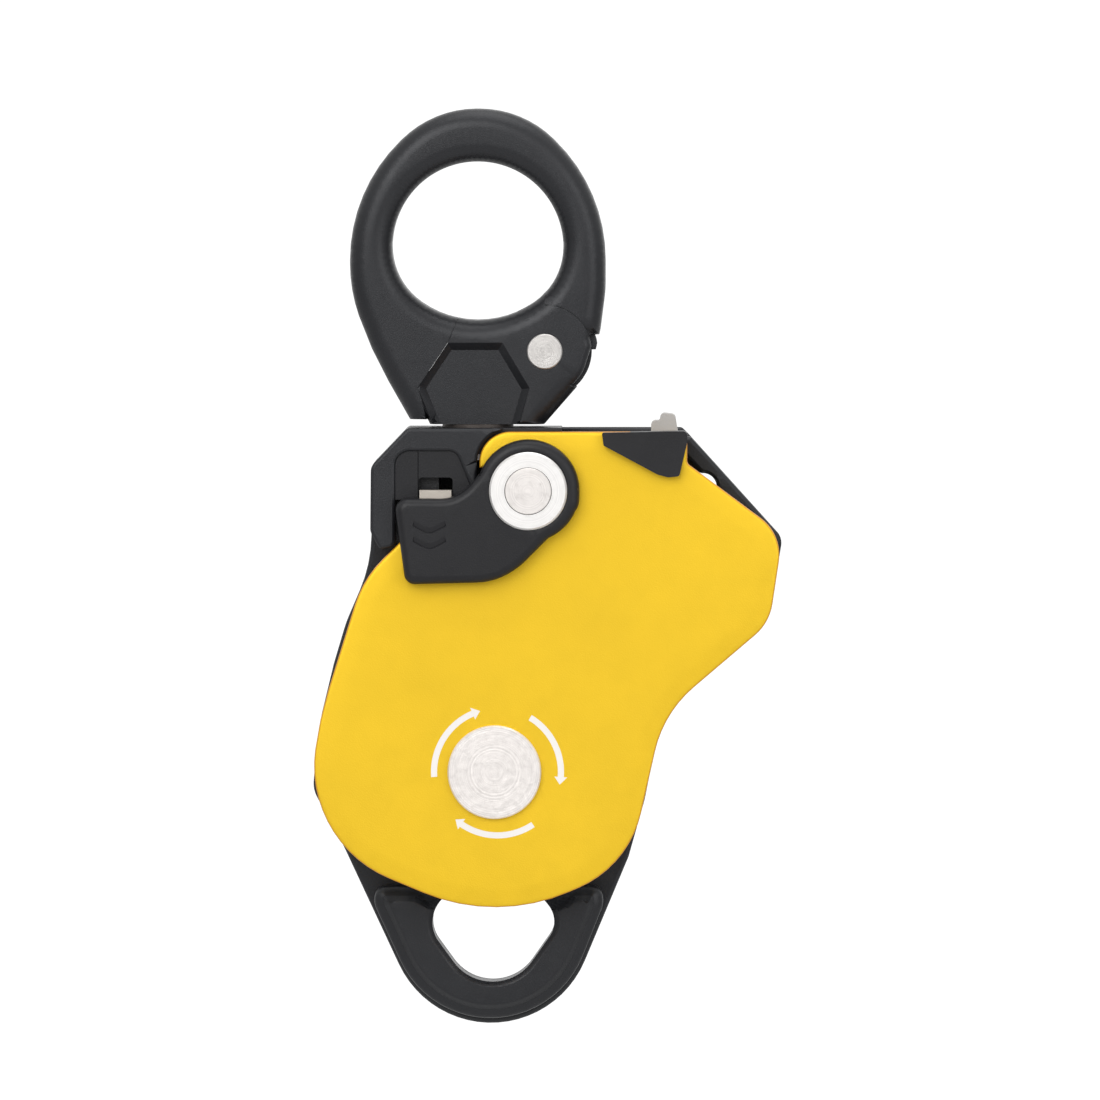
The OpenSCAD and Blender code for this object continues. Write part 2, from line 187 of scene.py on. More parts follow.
def heights(corners):
    """The height of each triangle over its longest side."""
    along = np.roll(corners, -1, axis=1) - corners
    twice_area = np.abs(along[:, 0, 0] * along[:, 1, 1] - along[:, 0, 1] * along[:, 1, 0])
    return twice_area / np.maximum(np.hypot(along[..., 0], along[..., 1]).max(axis=1), 1e-12)


def quarter_round(radius, steps=6):
    """An edge profile of (distance in from the edge, drop below the face)."""
    turns = [90 * k / steps for k in range(steps + 1)]
    return [(radius * (1 - math.cos(math.radians(t))), radius * (1 - math.sin(math.radians(t))))
            for t in turns]


def chamfer(width, depth, ease=0.12 * MM):
    """A bevel with slightly eased edges."""
    return [(0, depth + ease), (ease * 0.6, depth), (width * 0.5, depth * 0.5),
            (width - ease, ease * 0.9), (width + ease, 0)]


SHARP = [(0, 0.08 * MM), (0.04 * MM, 0.02 * MM), (0.1 * MM, 0)]


def edge_rings(loop, profile, near, starts, ends):
    """Points inside a loop at the distances where an edge profile bends."""
    ahead, behind = np.roll(loop, -1, axis=0) - loop, loop - np.roll(loop, 1, axis=0)
    ahead /= np.maximum(np.hypot(*ahead.T), 1e-12)[:, None]
    behind /= np.maximum(np.hypot(*behind.T), 1e-12)[:, None]
    inward = np.stack([-(ahead[:, 1] + behind[:, 1]), ahead[:, 0] + behind[:, 0]], axis=1)
    inward /= np.maximum(np.hypot(*inward.T), 1e-12)[:, None]
    cosine = np.maximum(np.abs(inward[:, 1] * ahead[:, 0] - inward[:, 0] * ahead[:, 1]), 0.4)
    points = []
    for ring in sorted({round(d, 8) for d, _ in profile if d > 0}):
        moved = loop + inward * (ring / cosine)[:, None]
        true = distance(moved, *near)
        clear = distance(moved, starts, ends)
        keep = (true > ring * 0.985) & (true < ring * 1.02) & (clear > 0.03 * MM)
        points += list(moved[keep])
    return points


def layer(builder, loops, front, back, edges=((None, SHARP, SHARP),), recess=None,
          rear_recess=None, lines=(), spacing=2.0 * MM):
    """Adds a closed solid between two depths. Each of edges says which sides it is for, and
    gives their front and back profiles. A recess gives the depth cut away at each point."""
    loops = [divided(loop, spacing) for loop in loops]
    starts, ends = sides(loops)
    free = np.ones(len(starts), bool)
    classes = []
    for test, front_edge, back_edge in edges:
        chosen = free if test is None else free & test((starts + ends) / 2)
        free = free & ~chosen
        classes.append((starts[chosen], ends[chosen], front_edge, back_edge))
    points = list(np.concatenate(loops))
    links = []
    first = 0
    for loop in loops:
        links += [(first + i, first + (i + 1) % len(loop)) for i in range(len(loop))]
        first += len(loop)
    for loop in loops:
        for near_start, near_end, front_edge, back_edge in classes:
            if len(near_start):
                points += edge_rings(loop, list(front_edge) + list(back_edge),
                                     (near_start, near_end), starts, ends)
    for line in lines:
        first = len(points)
        points += list(line)
        links += [(first + i, first + i + 1) for i in range(len(line) - 1)]
    flat = [Vector(p * 1000) for p in points]
    verts, _, faces, _, _, _ = delaunay_2d_cdt(flat, links, [], 0, 1e-5)
    spots = np.array([(v.x, v.y) for v in verts]) / 1000
    corners = spots[np.array(faces)]
    wanted = inside(corners.mean(axis=1), loops) & (heights(corners) > FLAT)
    faces = [list(face) for face, keep in zip(faces, wanted) if keep]
    y_front, y_back = np.full(len(spots), front), np.full(len(spots), back)
    front_drop, back_drop = np.zeros(len(spots)), np.zeros(len(spots))
    for near_start, near_end, front_edge, back_edge in classes:
        far = distance(spots, near_start, near_end)
        for drop, edge in ((front_drop, front_edge), (back_drop, back_edge)):
            np.maximum(drop, np.interp(far, [d for d, _ in edge], [h for _, h in edge]), out=drop)
    y_front, y_back = y_front + front_drop, y_back - back_drop
    if recess is not None:
        y_front = np.maximum(y_front, front + recess(spots))
    if rear_recess is not None:
        y_back = np.minimum(y_back, back - rear_recess(spots))
    used = sorted({i for face in faces for i in face})
    fronts = {i: builder.verts.new((spots[i][0], y_front[i], spots[i][1])) for i in used}
    backs = {i: builder.verts.new((spots[i][0], y_back[i], spots[i][1])) for i in used}
    rim = {}
    for face in faces:
        builder.faces.new([fronts[i] for i in face])
        builder.faces.new([backs[i] for i in reversed(face)])
        for a, b in zip(face, face[1:] + face[:1]):
            rim[(a, b)] = (b, a) not in rim
            if (b, a) in rim:
                rim[(b, a)] = False
    for (a, b), at_side in rim.items():
        if at_side:
            builder.faces.new([fronts[b], fronts[a], backs[a], backs[b]])


def finished(name, builder, body, material, replaced=(), sharp=24):
    """Turns the builder into a piece with smooth shading, which rides on a body."""
    bmesh.ops.recalc_face_normals(builder, faces=builder.faces)
    mesh = bpy.data.meshes.new(name)
    builder.to_mesh(mesh)
    builder.free()
    mesh.polygons.foreach_set("use_smooth", [True] * len(mesh.polygons))
    mesh.set_sharp_from_angle(angle=math.radians(sharp))
    mesh.materials.append(material)
    piece = bpy.data.objects.new(name, mesh)
    bpy.context.scene.collection.objects.link(piece)
    even = piece.modifiers.new("normals", "WEIGHTED_NORMAL")
    even.keep_sharp = True
    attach(piece, body)
    if replaced:
        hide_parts(*replaced)
    return piece


# ---------- materials ----------


class Shader:
    """A Principled material and the nodes that feed it."""

    def __init__(self, name, metallic, roughness, specular=0.5, coat=0.0, coat_roughness=0.1):
        self.material = bpy.data.materials.new(name)
        self.material.use_nodes = True
        self.tree = self.material.node_tree
        self.surface = self.tree.nodes["Principled BSDF"]
        self.surface.inputs["Metallic"].default_value = metallic
        self.surface.inputs["Roughness"].default_value = roughness
        self.surface.inputs["Specular IOR Level"].default_value = specular
        self.surface.inputs["Coat Weight"].default_value = coat
        self.surface.inputs["Coat Roughness"].default_value = coat_roughness
        self.place = self.node("ShaderNodeTexCoord").outputs["Object"]

    def node(self, kind, **settings):
        made = self.tree.nodes.new(kind)
        for key, value in settings.items():
            setattr(made, key, value)
        return made

    def link(self, start, end):
        self.tree.links.new(start, end)

    def noise(self, scale, detail=3.0, roughness=0.55, stretch=(1, 1, 1), place=None):
        mapping = self.node("ShaderNodeMapping")
        mapping.inputs["Scale"].default_value = stretch
        self.link(place or self.place, mapping.inputs["Vector"])
        noise = self.node("ShaderNodeTexNoise")
        noise.inputs["Scale"].default_value = scale
        noise.inputs["Detail"].default_value = detail
        noise.inputs["Roughness"].default_value = roughness
        self.link(mapping.outputs["Vector"], noise.inputs["Vector"])
        return noise.outputs["Fac"]

    def spread(self, value, low, high):
        ramp = self.node("ShaderNodeMapRange")
        ramp.inputs["From Min"].default_value = 0.25
        ramp.inputs["From Max"].default_value = 0.75
        ramp.inputs["To Min"].default_value = low
        ramp.inputs["To Max"].default_value = high
        self.link(value, ramp.inputs["Value"])
        return ramp.outputs["Result"]

    def colour(self, value, dark, light):
        mix = self.node("ShaderNodeMix", data_type="RGBA")
        mix.inputs["A"].default_value = (*dark, 1)
        mix.inputs["B"].default_value = (*light, 1)
        self.link(self.spread(value, 0, 1), mix.inputs["Factor"])
        self.link(mix.outputs["Result"], self.surface.inputs["Base Color"])

    def bump(self, value, height, strength=1.0):
        bump = self.node("ShaderNodeBump")
        bump.inputs["Strength"].default_value = strength
        bump.inputs["Distance"].default_value = height
        self.link(value, bump.inputs["Height"])
        self.link(bump.outputs["Normal"], self.surface.inputs["Normal"])


def tint(tree, factor, colour):
    """Mixes a colour over a material's base colour."""
    base = tree.nodes["Principled BSDF"].inputs["Base Color"]
    mix = tree.nodes.new("ShaderNodeMix")
    mix.data_type = "RGBA"
    mix.inputs["B"].default_value = (*colour, 1)
    tree.links.new(base.links[0].from_socket, mix.inputs["A"])
    tree.links.new(factor, mix.inputs["Factor"])
    tree.links.new(mix.outputs["Result"], base)


def painted_rim_shade(material, colour):
    """Paints shade into the colour: a deeper, darker colour where a plate's rim turns away from its
    flat faces, in place of the shade that falls on the rim.
    """
    tree = material.node_tree
    normal = tree.nodes.new("ShaderNodeNewGeometry").outputs["Normal"]
    split = tree.nodes.new("ShaderNodeSeparateXYZ")
    tree.links.new(normal, split.inputs["Vector"])
    size = tree.nodes.new("ShaderNodeMath")
    size.operation = "ABSOLUTE"
    tree.links.new(split.outputs["Y"], size.inputs[0])
    ramp = tree.nodes.new("ShaderNodeMapRange")
    ramp.inputs["From Min"].default_value = 0.97
    ramp.inputs["From Max"].default_value = 0.6
    tree.links.new(size.outputs["Value"], ramp.inputs["Value"])
    tint(tree, ramp.outputs["Result"], colour)


def varied(colour, by):
    return tuple(min(1.0, c * by) for c in colour)


def grained(name, colour, metallic, roughness, grain, height, vary=0.06, specular=0.5,
            stretch=(1, 1, 1), coat=0.0):
    """A blasted, cast or moulded surface: a fine grain in the bump, and a slow change of colour."""
    shader = Shader(name, metallic, roughness, specular, coat)
    fine = shader.noise(1 / grain, 2.0, 0.6, stretch)
    slow = shader.noise(60, 4.0)
    shader.colour(slow, varied(colour, 1 - vary), varied(colour, 1 + vary))
    rough = shader.spread(shader.noise(260, 3.0), roughness - 0.05, roughness + 0.05)
    shader.link(rough, shader.surface.inputs["Roughness"])
    shader.bump(fine, height)
    return shader.material


def turned(name, colour, centre, pitch, height, roughness=0.3, axis="Y", gap_shade_radius=None):
    """Metal with the fine rings that a lathe leaves round a centre, and perhaps a thin dark ring of
    painted shade at a radius, standing for the shadow in a gap between parts."""
    shader = Shader(name, 1.0, roughness)
    shift = shader.node("ShaderNodeVectorMath", operation="SUBTRACT")
    shift.inputs[1].default_value = centre
    shader.link(shader.place, shift.inputs[0])
    flat = shader.node("ShaderNodeVectorMath", operation="MULTIPLY")
    flat.inputs[1].default_value = (1, 0, 1) if axis == "Y" else (1, 1, 0)
    shader.link(shift.outputs["Vector"], flat.inputs[0])
    length = shader.node("ShaderNodeVectorMath", operation="LENGTH")
    shader.link(flat.outputs["Vector"], length.inputs[0])
    rings = shader.node("ShaderNodeTexNoise", noise_dimensions="1D")
    rings.inputs["Scale"].default_value = 1 / pitch
    rings.inputs["Detail"].default_value = 3.0
    shader.link(length.outputs["Value"], rings.inputs["W"])
    smear = shader.noise(900, 2.0)
    shader.colour(rings.outputs["Fac"], varied(colour, 0.9), varied(colour, 1.06))
    if gap_shade_radius:
        off = shader.node("ShaderNodeMath", operation="SUBTRACT")
        off.inputs[1].default_value = gap_shade_radius
        shader.link(length.outputs["Value"], off.inputs[0])
        near = shader.node("ShaderNodeMath", operation="ABSOLUTE")
        shader.link(off.outputs["Value"], near.inputs[0])
        ramp = shader.node("ShaderNodeMapRange")
        ramp.inputs["From Min"].default_value = 0.06 * MM
        ramp.inputs["From Max"].default_value = 0.13 * MM
        ramp.inputs["To Min"].default_value = 1
        ramp.inputs["To Max"].default_value = 0
        shader.link(near.outputs["Value"], ramp.inputs["Value"])
        # Painted shade: a thin dark ring at this radius stands for the shadow in the gap between the
        # cam axle and its collar.
        tint(shader.tree, ramp.outputs["Result"], (0.1, 0.09, 0.085))
    rough = shader.spread(smear, roughness - 0.05, roughness + 0.07)
    shader.link(rough, shader.surface.inputs["Roughness"])
    shader.bump(rings.outputs["Fac"], height)
    return shader.material


def joint_centre(name):
    return Vector(joints[name]["pos_m"])


# Points on the turning axes
SHEAVE = joint_centre("sheave_spin")
CAM = joint_centre("cam_pivot")
BOLT = joint_centre("gate_hinge")

CAM_AXLE_R = (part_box("cam_axle")[1].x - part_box("cam_axle")[0].x) / 2

BLACK = (0.0112, 0.0118, 0.0142)
black_anodised = grained("black_anodised", BLACK, 0.35, 0.37, 0.24 * MM, 0.03 * MM)
yellow_anodised = grained("yellow_anodised", (0.69, 0.445, 0.016), 0.5, 0.43, 0.24 * MM,
                          0.03 * MM, vary=0.035, specular=0.3)
# Painted shade: the yellow plate's rim turns a darker orange where it slopes away from the flat
# faces.
painted_rim_shade(yellow_anodised, (0.62, 0.26, 0.012))
black_plastic = grained("black_plastic", (0.009, 0.009, 0.0106), 0.0, 0.4, 0.3 * MM,
                        0.03 * MM, vary=0.1, specular=0.27)
grey_plastic = grained("grey_plastic", (0.36, 0.345, 0.33), 0.0, 0.5, 0.3 * MM, 0.02 * MM)
cam_steel = grained("cam_steel", (0.34, 0.34, 0.35), 1.0, 0.38, 0.25 * MM, 0.02 * MM)
spring_steel = grained("spring_steel", (0.3, 0.3, 0.31), 1.0, 0.3, 0.2 * MM, 0.005 * MM)
shield_rubber = grained("shield_rubber", (0.03, 0.03, 0.03), 0.0, 0.6, 0.2 * MM, 0.01 * MM)
bronze = grained("bronze", (0.5, 0.36, 0.17), 1.0, 0.35, 0.2 * MM, 0.006 * MM)
dark_bronze = grained("dark_bronze", (0.06, 0.05, 0.045), 0.6, 0.45, 0.2 * MM, 0.006 * MM)
white_print = grained("white_print", (0.69, 0.66, 0.63), 0.0, 0.5, 0.1 * MM, 0.002 * MM, vary=0.02)
steel = (0.84, 0.81, 0.78)
tongue_steel = grained("tongue_steel", (0.42, 0.385, 0.34), 1.0, 0.42, 0.2 * MM, 0.01 * MM)
axle_metal = turned("axle_metal", (0.86, 0.815, 0.785), SHEAVE, 0.3 * MM, 0.016 * MM, 0.34)
# The dark ring at the axle's rim is painted shade for the gap next to the collar.
cam_axle_metal = turned("cam_axle_metal", (0.74, 0.705, 0.68), CAM, 0.2 * MM, 0.008 * MM, 0.36,
                        gap_shade_radius=CAM_AXLE_R)
collar_metal = turned("collar_metal", (0.76, 0.745, 0.73), CAM, 0.2 * MM, 0.002 * MM, 0.4)
bolt_metal = turned("bolt_metal", (0.57, 0.55, 0.53), BOLT, 0.24 * MM, 0.02 * MM, 0.34)
sheave_metal = turned("sheave_metal", (0.56, 0.57, 0.59), SHEAVE, 0.25 * MM, 0.01 * MM, 0.3)
race_metal = turned("race_metal", (0.6, 0.61, 0.62), SHEAVE, 0.1 * MM, 0.002 * MM, 0.15)
swivel_metal = turned("swivel_metal", steel, Vector((0, 0, 0)), 0.2 * MM, 0.01 * MM, 0.3, "Z")

CAD_FINISHES = {
    "corner_cap": black_plastic, "latch_guide": black_plastic, "latch_cover": black_plastic,
    "sheave": sheave_metal, "bearing_outer_race": race_metal, "bearing_inner_race": race_metal,
    "bearing_balls": race_metal, "bearing_shields": shield_rubber, "sheave_axle": axle_metal,
    "axle_spacers": axle_metal, "axle_end_washer": axle_metal, "cam": cam_steel,
    "cam_bush": bronze, "cam_finger_tab": grey_plastic, "cam_axle": cam_axle_metal,
    "cam_collar": collar_metal, "cam_axle_end_washer": cam_axle_metal,
    "cam_spacers": cam_axle_metal, "cam_spring": spring_steel, "latch_tongue": tongue_steel,
    "latch_spring": spring_steel, "gate_bolt": bolt_metal, "swivel_stud": swivel_metal,
    "swivel_nut": swivel_metal, "upper_thrust_washer": dark_bronze,
    "lower_thrust_washer": dark_bronze,
}
# Bevel widths in millimetres
BEVELS = {
    "corner_cap": 0.7, "latch_guide": 0.12, "latch_cover": 0.18, "cam_collar": 0.2, "sheave": 0.35,
    "axle_end_washer": 0.2, "cam": 0.3, "cam_finger_tab": 0.4, "cam_axle": 0.22,
    "cam_axle_end_washer": 0.2, "latch_tongue": 0.12, "swivel_nut": 0.3,
}


def finish_cad_nodes():
    """Gives each CAD node that shows its own shape a material and smooth shading, and those listed in
    BEVELS an edge bevel.
    """
    for name, material in CAD_FINISHES.items():
        piece = nodes[name]
        piece.data.materials.clear()
        piece.data.materials.append(material)
        piece.data.polygons.foreach_set("use_smooth", [True] * len(piece.data.polygons))
        piece.data.set_sharp_from_angle(angle=math.radians(30))
        if name in BEVELS:
            bevel = piece.modifiers.new("edges", "BEVEL")
            bevel.width = BEVELS[name] * MM
            bevel.segments = 3
            bevel.limit_method = "ANGLE"
            bevel.angle_limit = math.radians(40)
            bevel.harden_normals = True


# ---------- the eye ----------

EYE_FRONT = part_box("swivel_gate")[0].y
EYE_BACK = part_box("swivel_gate")[1].y
# Half the thickness of the tongue in the middle of the eye
TONGUE_HALF = 2.85 * MM
# Depth below the face where the gate's outline and the foot's are cut
GATE_CUT = 2.4 * MM
FOOT_CUT = 1.35 * MM
EYE_SPACING = 1.2 * MM
EYE_EDGE = quarter_round(3.4 * MM, 7)
LOBE_EDGE = quarter_round(1.4 * MM, 5)
SEAM_EDGE = [(0, 0.03 * MM), (0.03 * MM, 0)]
FOOT_EDGE = quarter_round(0.7 * MM, 4)
# Below this height the gate is only the strip beside the foot
STRIP_Z = SHEAVE.z + 63.5 * MM


def away_from(loops):
    """Says which points lie well clear of another piece's outline."""
    starts, ends = sides(loops)

    def test(points):
        return distance(points, starts, ends) > 0.3 * MM
    return test


def from_bolt(points):
    """Each point's distance from the bolt's axis."""
    return np.hypot(points[:, 0] - BOLT.x, points[:, 1] - BOLT.z)


def seam_closed(loops, others, by=0.04 * MM):
    """The loops with the points that face another piece moved towards it.

    A negative distance moves them into their own outline.
    """
    starts, ends = sides(others)
    result = []
    for loop in loops:
        loop = divided(loop, 0.6 * MM)
        along = np.roll(loop, -1, axis=0) - np.roll(loop, 1, axis=0)
        along /= np.hypot(*along.T)[:, None]
        outward = np.stack([along[:, 1], -along[:, 0]], axis=1)
        near = distance(loop, starts, ends) < 0.25 * MM
        step = outward * np.where(near, by, 0)[:, None]
        if by < 0:
            step[~inside(loop + step, loops)] *= -1
        result.append(loop + step)
    return result


def eye_gate():
    """The eye's opening part: the ring, the strip down the left side and the inner tongue."""
    builder = bmesh.new()
    body = section("swivel_gate", EYE_FRONT + GATE_CUT)
    base = section("swivel_base", EYE_FRONT + GATE_CUT)
    away = away_from(base)

    def edge(points):
        return away(points) & (from_bolt(points) > 9 * MM) & (points[:, 1] > STRIP_Z)

    def bottom(points):
        return points[:, 1] <= STRIP_Z
    layer(builder, seam_closed(body, base), EYE_FRONT, EYE_BACK,
          [(edge, EYE_EDGE, EYE_EDGE), (bottom, FOOT_EDGE, FOOT_EDGE),
           (None, SEAM_EDGE, SEAM_EDGE)], spacing=EYE_SPACING)
    tongue = seam_closed(section("swivel_gate", 0.0), body, by=-0.22 * MM)
    layer(builder, tongue, -TONGUE_HALF, TONGUE_HALF)
    return finished("eye_gate_forging", builder, "eye_gate", black_anodised, ["swivel_gate"])


HEX_DEPTH = 1.25 * MM
HEX_WALL = 1.35 * MM
# From the bottom left round to the bottom right, from the swivel axis and the foot.
HEXAGON = [(-7.5, -1.3), (-10.8, 6.6), (-5.4, 14.7), (4.5, 14.7), (9.4, 6.5), (7.1, -1.3)]


def hex_recess(corners):
    """Depth of the recess: sloped walls along the drawn corners and a flat floor."""
    starts, ends = corners[:-1], corners[1:]
    closed = [corners]

    def depth(points):
        wall = np.clip(distance(points, starts, ends) / HEX_WALL, 0, 1)
        return np.where(inside(points, closed), wall * HEX_DEPTH, 0)
    return depth


def inset(corners, by):
    """The foot of the recess's wall, inside its corners."""
    result = []
    for i in range(len(corners)):
        a = corners[max(i - 1, 0)]
        b = corners[i]
        c = corners[min(i + 1, len(corners) - 1)]
        before, after = b - a, c - b
        if i == 0:
            before = after
        if i == len(corners) - 1:
            after = before
        before, after = before / np.hypot(*before), after / np.hypot(*after)
        normal = np.array([before[1] + after[1], -(before[0] + after[0])])
        normal /= np.hypot(*normal)
        lean = abs(normal[0] * after[1] - normal[1] * after[0])
        result.append(b + normal * by / lean)
    return np.array(result)


def eye_base():
    """The eye's foot: a front cheek, a rear cheek and a core, with a hexagonal recess."""
    builder = bmesh.new()
    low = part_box("swivel_base")[0].z
    gate_front = section("swivel_gate", EYE_FRONT + GATE_CUT)
    front = section("swivel_base", EYE_FRONT + FOOT_CUT)
    rear = section("swivel_base", EYE_BACK - FOOT_CUT)
    core = section("swivel_base", 0.0)
    away = away_from(gate_front)
    foot = low + 0.25 * MM

    def edge(points):
        return away(points) & (points[:, 1] > foot) & (from_bolt(points) > 8.42 * MM)

    def lobe(points):
        return away(points) & (from_bolt(points) > 4 * MM) & (points[:, 1] > foot)

    def bottom(points):
        return points[:, 1] <= foot
    classes = [(edge, EYE_EDGE, SHARP), (lobe, LOBE_EDGE, SHARP), (bottom, FOOT_EDGE, SHARP),
               (None, SEAM_EDGE, SHARP)]
    hexagon = np.array([(x * MM, low + z * MM) for x, z in HEXAGON])
    lines = [hexagon, inset(hexagon, HEX_WALL)]
    layer(builder, seam_closed(front, gate_front), EYE_FRONT, -TONGUE_HALF, classes,
          hex_recess(hexagon), lines=lines, spacing=EYE_SPACING)
    layer(builder, seam_closed(rear, gate_front), TONGUE_HALF, EYE_BACK,
          [(test, flat, round_edge) for test, round_edge, flat in classes],
          rear_recess=hex_recess(hexagon), lines=lines, spacing=EYE_SPACING)
    layer(builder, core, -TONGUE_HALF, TONGUE_HALF)
    return finished("eye_base_forging", builder, "swivel", black_anodised, ["swivel_base"])


# ---------- the frame ----------

# How far the layers reach into each other, so that no gap shows between them
LAP = 0.05 * MM
EAR_THICK = 10.5 * MM
STRUT_FRONT = 4.5 * MM
EAR_EDGE = [(0, 2.6 * MM), (0.15 * MM, 2.2 * MM), (0.5 * MM, 1.8 * MM), (1.1 * MM, 1.45 * MM),
            (1.45 * MM, 1.35 * MM), (1.65 * MM, 1.25 * MM), (2.35 * MM, 0.3 * MM),
            (2.6 * MM, 0.08 * MM), (2.95 * MM, 0)]


def fixed_frame():
    """The rear plate, the head block in three layers, the lower ear and the strut."""
    builder = bmesh.new()
    low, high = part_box("fixed_frame")
    plate_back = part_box("side_plate")[1].y
    rear_front = -plate_back
    window_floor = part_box("latch_cover")[1].y
    ear_top = SHEAVE.z - 28 * MM
    rear = section("fixed_frame", high.y - 1.0 * MM)
    layer(builder, rear, rear_front, high.y,
          [(None, chamfer(0.5 * MM, 0.45 * MM), chamfer(1.1 * MM, 0.9 * MM))])
    head_seam = plate_back + 0.3 * MM
    face = section("fixed_frame", plate_back - 1.0 * MM)
    layer(builder, face, low.y, head_seam, [(None, chamfer(0.42 * MM, 0.3 * MM), SHARP)])
    pocket = section("fixed_frame", window_floor - 0.6 * MM)
    layer(builder, pocket, head_seam, window_floor)
    middle = section("fixed_frame", 2.5 * MM)
    layer(builder, [loop for loop in middle if loop[:, 1].min() > ear_top], window_floor,
          rear_front + LAP)
    ear = [loop for loop in middle if loop[:, 1].min() <= ear_top]
    holes = sides([loop for loop in rear if area(loop) < 0])

    def outer(points):
        return distance(points, *holes) > 0.2 * MM
    layer(builder, ear, high.y - EAR_THICK, rear_front + LAP,
          [(outer, EAR_EDGE, SHARP), (None, chamfer(0.85 * MM, 0.6 * MM), SHARP)])
    strut = section("fixed_frame", 6.0 * MM)
    layer(builder, [loop for loop in strut if loop[:, 0].min() > CAM.x + 20 * MM],
          STRUT_FRONT, rear_front + LAP, [(None, chamfer(0.5 * MM, 0.45 * MM), SHARP)])
    return finished("frame_forging", builder, "frame", black_anodised, ["fixed_frame"])


# ---------- side plate, lever and print ----------

# The side plate's front edge, whose slope fades out over the face
DISH = [(0, 0.55 * MM), (0.08 * MM, 0.34 * MM), (0.25 * MM, 0.2 * MM), (0.6 * MM, 0.13 * MM),
        (1.2 * MM, 0.095 * MM), (1.9 * MM, 0.06 * MM), (2.6 * MM, 0.027 * MM),
        (3.2 * MM, 0.008 * MM), (3.7 * MM, 0)]


def side_plate():
    """The yellow plate, with a crowned front edge."""
    builder = bmesh.new()
    low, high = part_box("side_plate")
    loops = section("side_plate", (low.y + high.y) / 2)
    bore = sides([loop for loop in loops if area(loop) < 0])

    def outer(points):
        return distance(points, *bore) > 0.2 * MM
    layer(builder, loops, low.y, high.y,
          [(outer, DISH, chamfer(0.4 * MM, 0.3 * MM)), (None, SHARP, SHARP)], spacing=1.5 * MM)
    return finished("yellow_side_plate", builder, "moving_side_plate", yellow_anodised,
                    ["side_plate"])


def chevron(middle_x, tip_z):
    """A rounded V band, as points round its outline."""
    half, rise, thick = 3.0 * MM, 1.55 * MM, 1.05 * MM
    steps = 10
    lower_line = []
    upper_line = []
    for k in range(steps + 1):
        x = -half + 2 * half * k / steps
        z = rise * (math.hypot(x, 0.8 * MM) - 0.8 * MM) / (half - 0.3 * MM)
        lower_line.append((middle_x + x, tip_z + z))
        upper_line.append((middle_x + x * 0.93, tip_z + z + thick))
    return np.array(lower_line + upper_line[::-1] + lower_line[:1])


def latch_lever():
    """The lever, with two sunk chevrons on its left arm."""
    builder = bmesh.new()
    low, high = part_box("latch_lever")
    recess_front = high.y - 2.2 * MM
    loops = section("latch_lever", (low.y + recess_front) / 2)
    rear_loops = section("latch_lever", high.y - 1.0 * MM)
    holes = sides([loop for loop in loops if area(loop) < 0])
    bands = [chevron(CAM.x - 17.7 * MM, CAM.z - dz * MM) for dz in (7.6, 10.4)]

    def outer(points):
        return distance(points, *holes) > 0.2 * MM

    def recess(points):
        depth = np.zeros(len(points))
        for band in bands:
            gap = distance(points, band[:-1], band[1:])
            depth = np.where(inside(points, [band[:-1]]), np.clip(gap / (0.12 * MM), 0, 1), depth)
        return depth * 0.35 * MM
    rims = [band[:-1] * 0.94 + band[:-1].mean(axis=0) * 0.06 for band in bands]
    lines = bands + [np.concatenate([rim, rim[:1]]) for rim in rims]
    layer(builder, loops, low.y, recess_front,
          [(outer, quarter_round(1.5 * MM, 6), SHARP), (None, SHARP, SHARP)], recess,
          lines=lines, spacing=1.2 * MM)
    layer(builder, rear_loops, recess_front, high.y)
    return finished("latch_lever_moulding", builder, "latch", black_plastic, ["latch_lever"])


ARROW_R = 11.4 * MM
ARROW_WIDTH = 1.1 * MM
ARROW_X = SHEAVE.x + 0.55 * MM
# Where each arrow starts and ends, in degrees
ARROWS = {"left": (184.5, 106), "right": (59, -11.5), "bottom": (-56, -131.5)}


def arrow(name, tail, tip):
    """A printed arc that ends in a head, on the side plate round the sheave axle."""
    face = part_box("side_plate")[0].y
    head = 7
    steps = 18
    inner, outer = [], []
    for k in range(steps + 1):
        turn = math.radians(tail + (tip + head - tail) * k / steps)
        for r, side in ((ARROW_R - ARROW_WIDTH / 2, inner), (ARROW_R + ARROW_WIDTH / 2, outer)):
            side.append((ARROW_X + r * math.cos(turn), SHEAVE.z + r * math.sin(turn)))
    base = math.radians(tip + head)
    point = math.radians(tip)
    wings = [(ARROW_X + r * math.cos(base), SHEAVE.z + r * math.sin(base))
             for r in (ARROW_R + 1.15 * MM, ARROW_R - 1.15 * MM)]
    nose = (ARROW_X + ARROW_R * math.cos(point), SHEAVE.z + ARROW_R * math.sin(point))
    loop = np.array(outer + [wings[0], nose, wings[1]] + inner[::-1])
    builder = bmesh.new()
    flat = [(0, 0)]
    layer(builder, oriented([loop]), face - 0.02 * MM, face + 0.02 * MM, [(None, flat, flat)])
    return finished("arrow_" + name, builder, "moving_side_plate", white_print)


# ---------- studio ----------


FLOOR_DROP = 0.3
FLOOR_R = 3.5


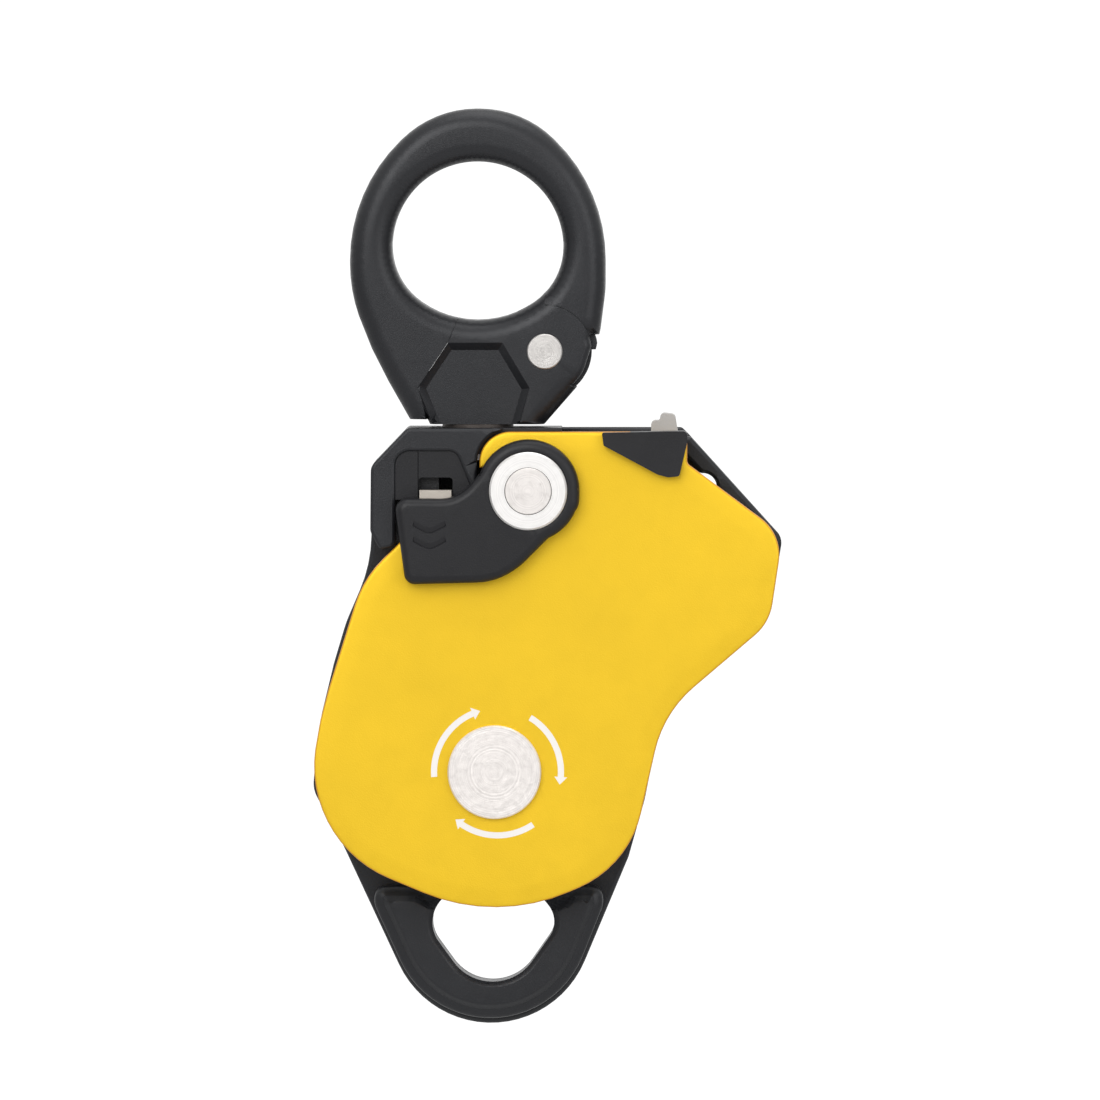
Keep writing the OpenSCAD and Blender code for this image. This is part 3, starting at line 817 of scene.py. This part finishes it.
def studio():
    """A pale floor, soft light from all round that is stronger from above and behind, and
    three softboxes."""
    floor_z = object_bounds()[0][2] - FLOOR_DROP
    builder = bmesh.new()
    bmesh.ops.create_circle(builder, cap_ends=True, radius=FLOOR_R, segments=96)
    bmesh.ops.translate(builder, verts=builder.verts, vec=(0, 0, floor_z))
    mesh = bpy.data.meshes.new("studio_floor")
    builder.to_mesh(mesh)
    builder.free()
    floor = bpy.data.objects.new("studio_floor", mesh)
    bpy.context.scene.collection.objects.link(floor)
    paint = Shader("studio_paint", 0.0, 0.9, 0.1)
    paint.surface.inputs["Base Color"].default_value = (0.6, 0.6, 0.6, 1)
    mesh.materials.append(paint.material)
    floor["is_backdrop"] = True

    world = bpy.data.worlds.new("studio")
    world.use_nodes = True
    tree = world.node_tree
    place = tree.nodes.new("ShaderNodeTexCoord")
    split = tree.nodes.new("ShaderNodeSeparateXYZ")
    tree.links.new(place.outputs["Generated"], split.inputs["Vector"])
    parts = []
    for axis, start, end, dark, light in (("Z", -0.45, 0.35, 0.1, 1.0), ("Y", 0.2, 0.75, 0, 1.1)):
        ramp = tree.nodes.new("ShaderNodeMapRange")
        ramp.inputs["From Min"].default_value = start
        ramp.inputs["From Max"].default_value = end
        ramp.inputs["To Min"].default_value = dark
        ramp.inputs["To Max"].default_value = light
        tree.links.new(split.outputs[axis], ramp.inputs["Value"])
        parts.append(ramp.outputs["Result"])
    most = tree.nodes.new("ShaderNodeMath")
    most.operation = "MAXIMUM"
    tree.links.new(parts[0], most.inputs[0])
    tree.links.new(parts[1], most.inputs[1])
    tree.links.new(most.outputs["Value"], tree.nodes["Background"].inputs["Strength"])
    tree.nodes["Background"].inputs["Color"].default_value = (1, 1, 1, 1)
    bpy.context.scene.world = world
    softbox("key", (-0.3, -0.92, 0.4), 0.7, 5.4)
    softbox("fill", (0.7, -0.9, 0.15), 0.7, 2.8)
    softbox("top", (0.1, -0.05, 0.8), 0.7, 2.7)


def softbox(name, place, size, power):
    light = bpy.data.lights.new(name, "AREA")
    light.size = size
    light.energy = power
    lamp = bpy.data.objects.new(name, light)
    lamp.location = place
    aim = Vector((0.01, 0, -0.05)) - Vector(place)
    lamp.rotation_euler = aim.to_track_quat("-Z", "Y").to_euler()
    bpy.context.scene.collection.objects.link(lamp)


# Width of the picture at the pulley, focal length in millimetres, and the view's
# direction in degrees
VIEW_WIDTH = 198 * MM
VIEW_LENS = 500
VIEW_RISE = 2.1
VIEW_TURN = 0.6


def camera():
    """A long lens a little above the middle of the pulley."""
    data = bpy.data.cameras.new("camera")
    data.sensor_width = 36
    data.lens = VIEW_LENS
    away = VIEW_WIDTH * VIEW_LENS / data.sensor_width
    data.clip_end = 20
    target = Vector((SHEAVE.x + 9.9 * MM, -0.003, SHEAVE.z + 39.6 * MM))
    rise, turn = math.radians(VIEW_RISE), math.radians(VIEW_TURN)
    back = Vector((math.sin(turn) * math.cos(rise), -math.cos(turn) * math.cos(rise),
                   math.sin(rise)))
    eye = bpy.data.objects.new("camera", data)
    eye.location = target + back * away
    eye.rotation_euler = (-back).to_track_quat("-Z", "Y").to_euler()
    bpy.context.scene.collection.objects.link(eye)
    bpy.context.scene.camera = eye


camera()
studio()
finish_cad_nodes()
eye_gate()
eye_base()
fixed_frame()
side_plate()
latch_lever()
for arrow_name, (arrow_tail, arrow_tip) in ARROWS.items():
    arrow(arrow_name, arrow_tail, arrow_tip)
bpy.context.scene.view_settings.view_transform = "Standard"
